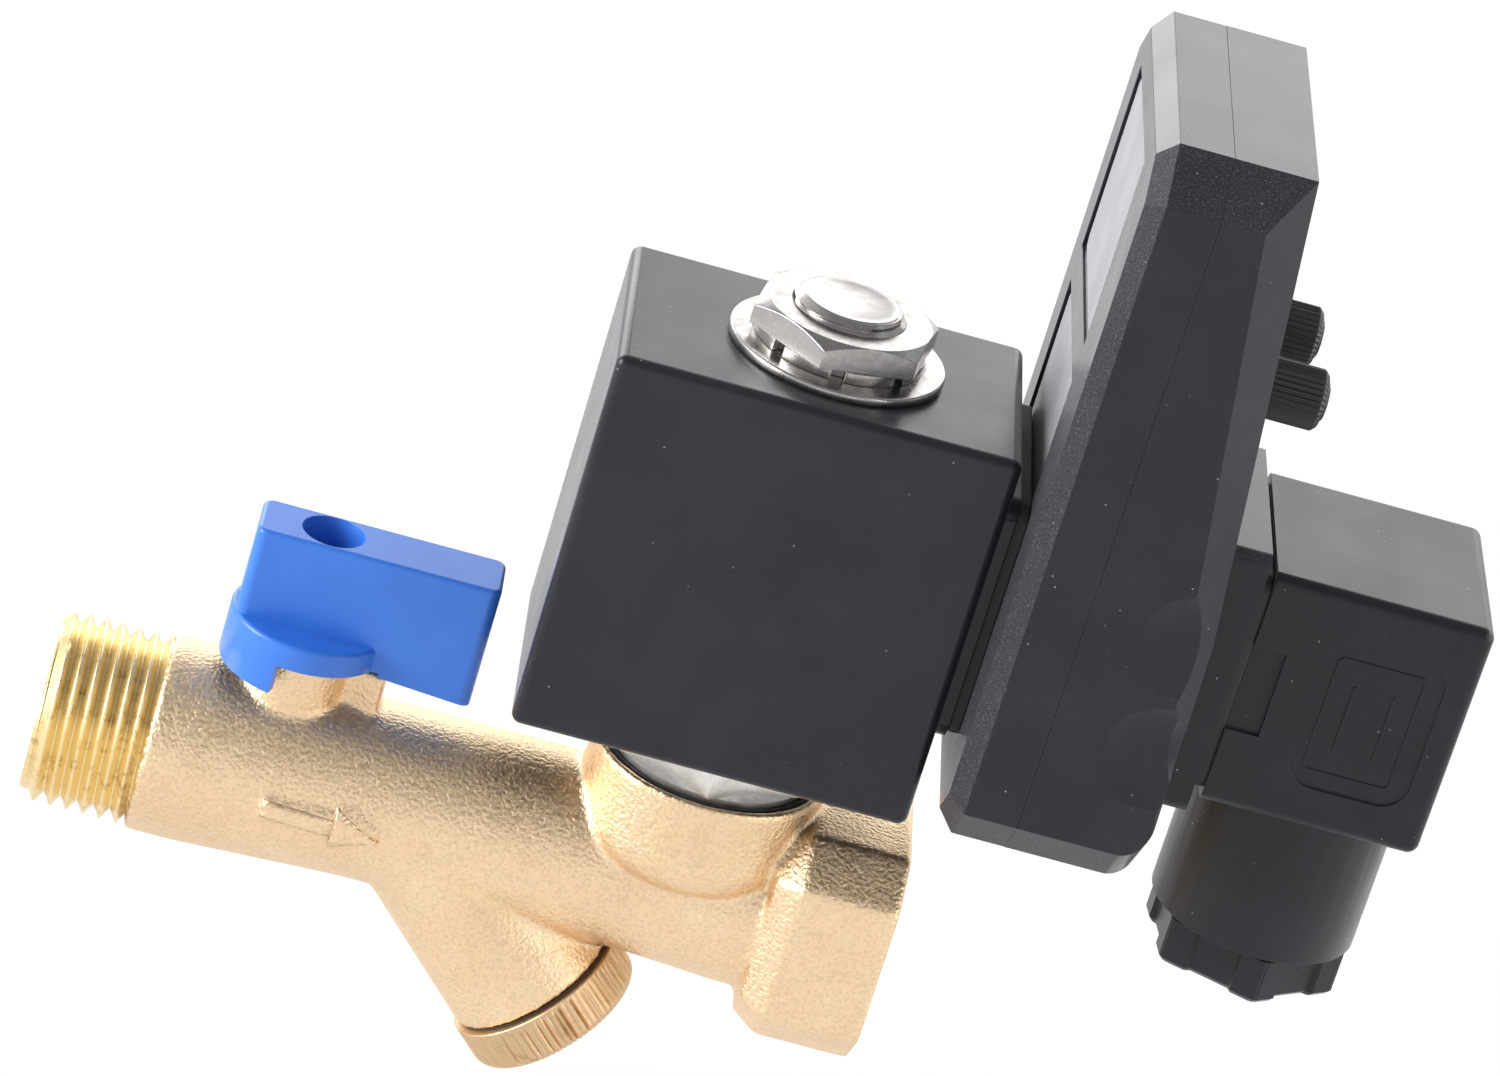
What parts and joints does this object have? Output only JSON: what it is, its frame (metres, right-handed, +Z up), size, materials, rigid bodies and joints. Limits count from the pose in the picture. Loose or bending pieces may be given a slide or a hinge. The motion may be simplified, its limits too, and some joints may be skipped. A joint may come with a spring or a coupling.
{
  "type": "automatic drain valve",
  "caption": "Timer-controlled solenoid drain valve for compressed-air condensate, with ball shut-off, Y strainer, cable plug, threaded inlet and tapped outlet.",
  "frame": {"origin": "centre of the inlet thread's shoulder, on the body axis", "axes": "+X along the body axis from inlet to outlet, +Z up along the solenoid, +Y to the far side of the handle and knobs"},
  "size_m": [0.1436, 0.0466, 0.1309],
  "materials": {
    "brass": "cast and blasted",
    "nickel_plate": "nickel plated",
    "ptfe": "white PTFE",
    "bright_brass": "machined",
    "blue_plastic": "moulded, glossy",
    "steel": "turned steel",
    "rubber": "matt",
    "copper": null,
    "coil_black": "satin resin",
    "black_plastic": "satin moulded",
    "light_plastic": "natural nylon",
    "board_green": "solder-masked board",
    "button_plastic": "moulded",
    "lamp": "tinted lens"
  },
  "bodies": {
    "root": {"valve_body": "brass", "coil_washer": "nickel_plate", "coil_lock_washer": "nickel_plate", "coil_nut": "nickel_plate", "ball_seat_inlet": "ptfe", "ball_seat_outlet": "ptfe", "ball_retainer": "bright_brass", "coil_screw_insert": "bright_brass", "coil_terminals": "bright_brass", "timer_sockets": "bright_brass", "timer_blades": "bright_brass", "plug_contacts": "bright_brass", "armature_tube": "steel", "fixed_core": "steel", "plunger_spring": "steel", "long_screw": "steel", "coil_yoke": "steel", "gland_washer": "steel", "tube_o_ring": "rubber", "timer_gasket": "rubber", "plug_gasket": "rubber", "screw_ring": "rubber", "gland_grommet": "rubber", "shading_ring": "copper", "coil_winding": "copper", "coil_housing": "coil_black", "timer_base": "black_plastic", "timer_cover": "black_plastic", "plug_housing": "black_plastic", "gland_nut": "black_plastic", "plug_insert": "black_plastic", "coil_bobbin": "light_plastic", "potentiometers": "light_plastic", "test_switch": "light_plastic", "timer_board": "board_green", "status_lamps": "lamp"},
    "handle": {"ball": "nickel_plate", "ball_stem": "nickel_plate", "stem_o_ring": "rubber", "ball_handle": "blue_plastic", "handle_screw": "steel"},
    "strainer": {"strainer_screen": "steel", "strainer_gasket": "rubber"},
    "strainer_cap": {"strainer_cap": "brass"},
    "plunger": {"plunger": "steel", "plunger_seal": "rubber"},
    "knob_off_time": {"knob_off_time": "black_plastic"},
    "knob_on_time": {"knob_on_time": "black_plastic"},
    "test_button": {"test_button": "button_plastic"}
  },
  "joints": [
    {"name": "handle_turn", "type": "hinge", "parent": "root", "child": "handle", "pos_m": [0.013, 0, 0.02], "axis": [0, 0, 1], "range_deg": [0, 90]},
    {"name": "strainer_slide", "type": "slide", "parent": "root", "child": "strainer", "axis": [0.7071, 0, -0.7071], "range_m": [0, 0.007]},
    {"name": "cap_turn", "type": "hinge", "parent": "strainer", "child": "strainer_cap", "pos_m": [0.04671, 0, -0.01711], "axis": [0.7071, 0, -0.7071], "range_deg": [0, 1680]},
    {"name": "plunger_lift", "type": "slide", "parent": "root", "child": "plunger", "axis": [0, 0, 1], "range_m": [0, 0.003], "stiffness_N_per_m": 300, "springref_m": -0.004, "deforming": ["plunger_spring"]},
    {"name": "off_time_turn", "type": "hinge", "parent": "root", "child": "knob_off_time", "pos_m": [0.09875, 0.008, 0.0762], "axis": [1, 0, 0], "range_deg": [-150, 150]},
    {"name": "on_time_turn", "type": "hinge", "parent": "root", "child": "knob_on_time", "pos_m": [0.09875, -0.008, 0.0762], "axis": [1, 0, 0], "range_deg": [-150, 150]},
    {"name": "test_press", "type": "slide", "parent": "root", "child": "test_button", "axis": [-1, 0, 0], "range_m": [0, 0.0008], "stiffness_N_per_m": 800, "springref_m": -0.0005}
  ],
  "couplings": [
    {"joint": "cap_turn", "follows": "strainer_slide", "rad_per_m": 4188.8}
  ]
}
